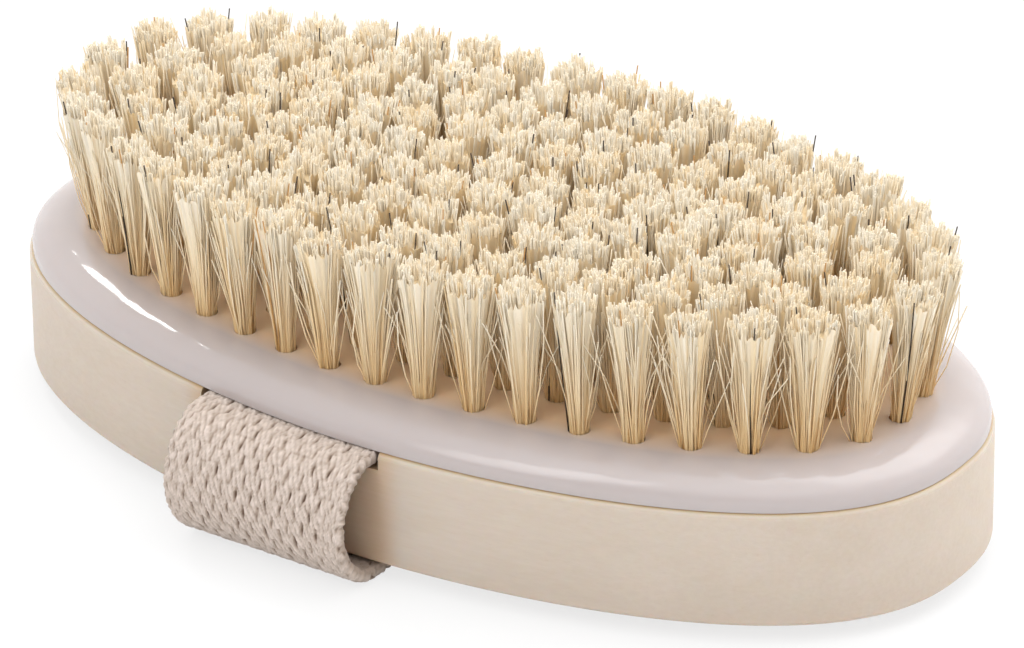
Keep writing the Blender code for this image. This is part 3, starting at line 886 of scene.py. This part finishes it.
# Painted shade: dark in the pits of the weave, rising to the cotton's own pale colour on its threads: the
# height of the relief, and the colour. The face towards the wood is coloured as if its relief ended at
# INNER_FACE_SHADE_LIFT, so it stays darker: painted shade between the strap and the wood.
WEAVE_SHADE_COLOURS = (
    (0.05, (0.16, 0.10, 0.07, 1.0)),
    (0.50, (0.46, 0.37, 0.305, 1.0)),
    (0.90, (0.70, 0.60, 0.537, 1.0)),
)
INNER_FACE_SHADE_LIFT = 0.45
THREADS_PER_METRE = (3600.0, 1300.0, 1.0)
THREAD_TURN = 0.35
THREAD_RANGE = (0.3, 0.7)
THREAD_SHADES = (0.84, 1.06)


def strap_line():
    """Middle line of half of the strap, evenly stepped: way along it, point and outward normal."""
    bulge = strap_high.y - STRAP_THICKNESS / 2
    low_level = strap_low.z + STRAP_THICKNESS / 2
    end_level = wood_high.z - STRAP_THICKNESS / 2
    middle_level = (low_level + end_level) / 2
    under = Vector((HALF_WIDTH - UNDERSIDE_INSET, low_level))
    belly = Vector((bulge, middle_level))
    mouth = Vector((HALF_WIDTH, end_level))
    reach = Vector((BULGE_REACH_SHARE * (bulge - HALF_WIDTH), 0))
    drop = Vector((0, BULGE_DROP_SHARE * (middle_level - low_level)))
    lower = interpolate_bezier(under, under + reach, belly - drop, belly, CURVE_STEPS)
    upper = interpolate_bezier(belly, belly + drop, mouth + reach, mouth, CURVE_STEPS)
    middle_end = Vector((0.0, low_level))
    stapled_end = Vector((HALF_WIDTH - STRAP_END_DEPTH, end_level))
    corners = [corner.to_2d() for corner in (middle_end, *lower, *upper[1:], stapled_end)]
    way = way_along(corners)
    steps = round(way[-1] / ROW_STEP)
    line = []
    for step in range(steps + 1):
        index, part = stretch_at(way, way[-1] * step / steps)
        line.append(corners[index].lerp(corners[index + 1], part))
    made = []
    for step, point in enumerate(line):
        along = (line[min(steps, step + NORMAL_ROWS)] - line[max(0, step - NORMAL_ROWS)]).normalized()
        made.append((way[-1] * step / steps, point, Vector((along.y, -along.x))))
    return made


def brick_height(across, along):
    """Relief of the brick weave, from 0 in a pit to 1 on a thread."""
    row = math.floor(along / BRICK_LENGTH)
    row_part = along / BRICK_LENGTH - row
    shifted = across / BRICK_WIDTH + 0.5 * (row % 2)
    brick_part = shifted % 1.0
    luck = noise.cell(Vector((round(shifted) + 0.5, row + 0.5, 0.5)))
    from_joint = min(brick_part, 1 - brick_part) * BRICK_WIDTH
    from_middle = (row_part - 0.5) * BRICK_LENGTH
    pit = math.exp(-(from_joint / PIT_RADIUS) ** 2 - (from_middle / PIT_LENGTH) ** 2)
    seam = math.exp(-(from_joint / PIT_RADIUS) ** 2)
    row_end = abs(2 * row_part - 1) ** 6
    groove = (1 - abs(math.sin(math.pi * (across + STRAND_SLANT * along) / STRAND_WIDTH))) ** 2
    depth = (PIT_DEPTH + PIT_LUCK * luck) * pit + SEAM_DEPTH * seam
    return max(0.0, 1 - depth - ROW_END_DEPTH * row_end - GROOVE_DEPTH * groove)


def weave_height(across, along):
    """The brick weave with its small irregularities, and finer along the two woven edges."""
    spot = Vector((across, along, 0.0))
    across += WEAVE_WANDER * noise.noise(spot / WANDER_SIZE)
    along += WEAVE_WANDER * noise.noise(spot / WANDER_SIZE + Vector((0, 0, 7)))
    from_band = strap_half_width - EDGE_BAND - abs(across)
    inside = min(1.0, max(0.0, from_band / EDGE_CHANGE + 0.5))
    height = inside * brick_height(across, along)
    if inside < 1.0:
        finer = brick_height(across * EDGE_FINENESS[0], along * EDGE_FINENESS[1])
        height += (1 - inside) * (EDGE_LEVEL + (1 - EDGE_LEVEL) * finer)
    lumps = LUMPS[0] * noise.noise(spot / LUMPS[1])
    fuzz = FUZZ[0] * (1 + noise.noise(spot / FUZZ[1]))
    return height * (1 + lumps) - fuzz


def bead_size(way, across):
    """How far in the strap's edge dips at this place, as a share of the depth of its beads."""
    noise_line = 3.0 if across > 0 else 9.0
    uneven = BEAD_UNEVENNESS[0] * noise.noise(Vector((way / BEAD_UNEVENNESS[1], noise_line, 0.0)))
    return BEAD_MEAN + BEAD_SWING * math.cos(2 * math.pi * way / BEAD_LENGTH) + uneven


def strap_half(name, way_out, material):
    """One half of the strap: its outer and inner face with the weave's relief, joined all round."""
    line = strap_line()
    rows = len(line) - 1
    bm = bmesh.new()
    layers = [bm.verts.layers.float.new(layer) for layer in ("lift", "across", "way")]
    borders = {}
    # The outer face, and the inner one with the same weave half a brick on.
    for face_side, bricks_on in ((1, 0.0), (-1, 0.5)):
        grid = bmesh.ops.create_grid(bm, x_segments=STRAP_COLUMNS, y_segments=rows, size=1.0)["verts"]
        for vertex in grid:
            way, point, normal = line[round((vertex.co.y + 1) / 2 * rows)]
            across = vertex.co.x * strap_half_width
            edge_room = strap_half_width - abs(across)
            rounding = math.sqrt(max(0.0, 1 - (1 - min(1.0, edge_room / EDGE_ROUNDING)) ** 2))
            beading = BEAD_DEPTH * bead_size(way, across) * max(0.0, 1 - edge_room / EDGE_BAND) ** 3
            height = weave_height(across + bricks_on * BRICK_WIDTH, way + bricks_on * BRICK_LENGTH)
            half_thickness = STRAP_THICKNESS / 2 * (EDGE_THINNESS + (1 - EDGE_THINNESS) * rounding)
            spot = point + normal * (face_side * (half_thickness - WEAVE_DEPTH * (1 - min(1.0, height))))
            x = strap_middle_x + across - math.copysign(beading, across)
            vertex.co = Vector((x, way_out * spot.x, spot.y))
            # The inner face's colour keeps only the lower relief: painted shade between the strap and the
            # wood.
            lift = height if face_side == 1 else min(height, INNER_FACE_SHADE_LIFT)
            for layer, value in zip(layers, (lift, across, way)):
                vertex[layer] = value
        borders.update(dict.fromkeys(
            edge for vertex in grid for edge in vertex.link_edges if edge.is_boundary))
    bmesh.ops.bridge_loops(bm, edges=list(borders))
    bmesh.ops.recalc_face_normals(bm, faces=bm.faces)
    half = add_piece(name, bm, material)
    half.data.shade_smooth()
    return half, line[-1][0]


def webbing_finish():
    """Unbleached cotton: matt, spun from fine threads, with painted shade down in the pits of the weave."""
    material, shader, _ = new_finish("cotton_webbing_cloth")
    spread = add_node(material, "ShaderNodeCombineXYZ", {
        "X": attribute(material, "across"), "Y": attribute(material, "way")})
    drawn = add_node(material, "ShaderNodeMapping", {
        "Vector": spread.outputs[0], "Scale": THREADS_PER_METRE, "Rotation": (0.0, 0.0, THREAD_TURN)})
    threads = noise_pattern(material, drawn.outputs[0], scale=1.0, detail=2.0, roughness=0.6)
    # Painted shade in the pits, by the height of the relief.
    colour = colour_ramp(material, attribute(material, "lift"), WEAVE_SHADE_COLOURS)
    speckle = rescaled(material, threads, *THREAD_RANGE, *THREAD_SHADES)
    fill_sockets(material, shader, {
        "Base Color": mixed_colour(material, 1.0, colour, speckle, "MULTIPLY"),
        "Normal": fine_relief(material, threads, strength=0.8, depth=0.2 * MM),
        "Roughness": 0.95, "Specular IOR Level": 0.1, "Sheen Weight": 0.2, "Sheen Roughness": 0.5})
    return material


cotton = webbing_finish()
for side, way_out in (("front", -1), ("back", 1)):
    half, length = strap_half(f"strap_{side}_half", way_out, cotton)
    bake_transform(half, "brush_body", "strap_band",
             start=(0, way_out * 0.0404, 0.0080), end=(0, way_out * 0.0297, -0.0134))
    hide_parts("hand_strap")


# The staples. Galvanised wire bent square, two at each end of the strap. They are driven through it
# into the wood, and the plate covers them.
ZINC_DULL = (0.50, 0.51, 0.53, 1.0)
ZINC_BRIGHT = (0.68, 0.69, 0.70, 1.0)


def staple_finish():
    """Drawn wire with its coat of zinc, a little spangled."""
    material, shader, _ = new_finish("galvanised_wire")
    place = add_node(material, "ShaderNodeTexCoord").outputs["Object"]
    spangle = noise_pattern(material, place, scale=1800.0, detail=2.0, roughness=0.6)
    fill_sockets(material, shader, {
        "Base Color": mixed_colour(material, spangle, ZINC_DULL, ZINC_BRIGHT),
        "Metallic": 1.0, "Roughness": 0.38})
    return material


galvanised = staple_finish()
for name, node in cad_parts.items():
    if name.startswith("strap_staple"):
        node.data.materials.clear()
        node.data.materials.append(galvanised)
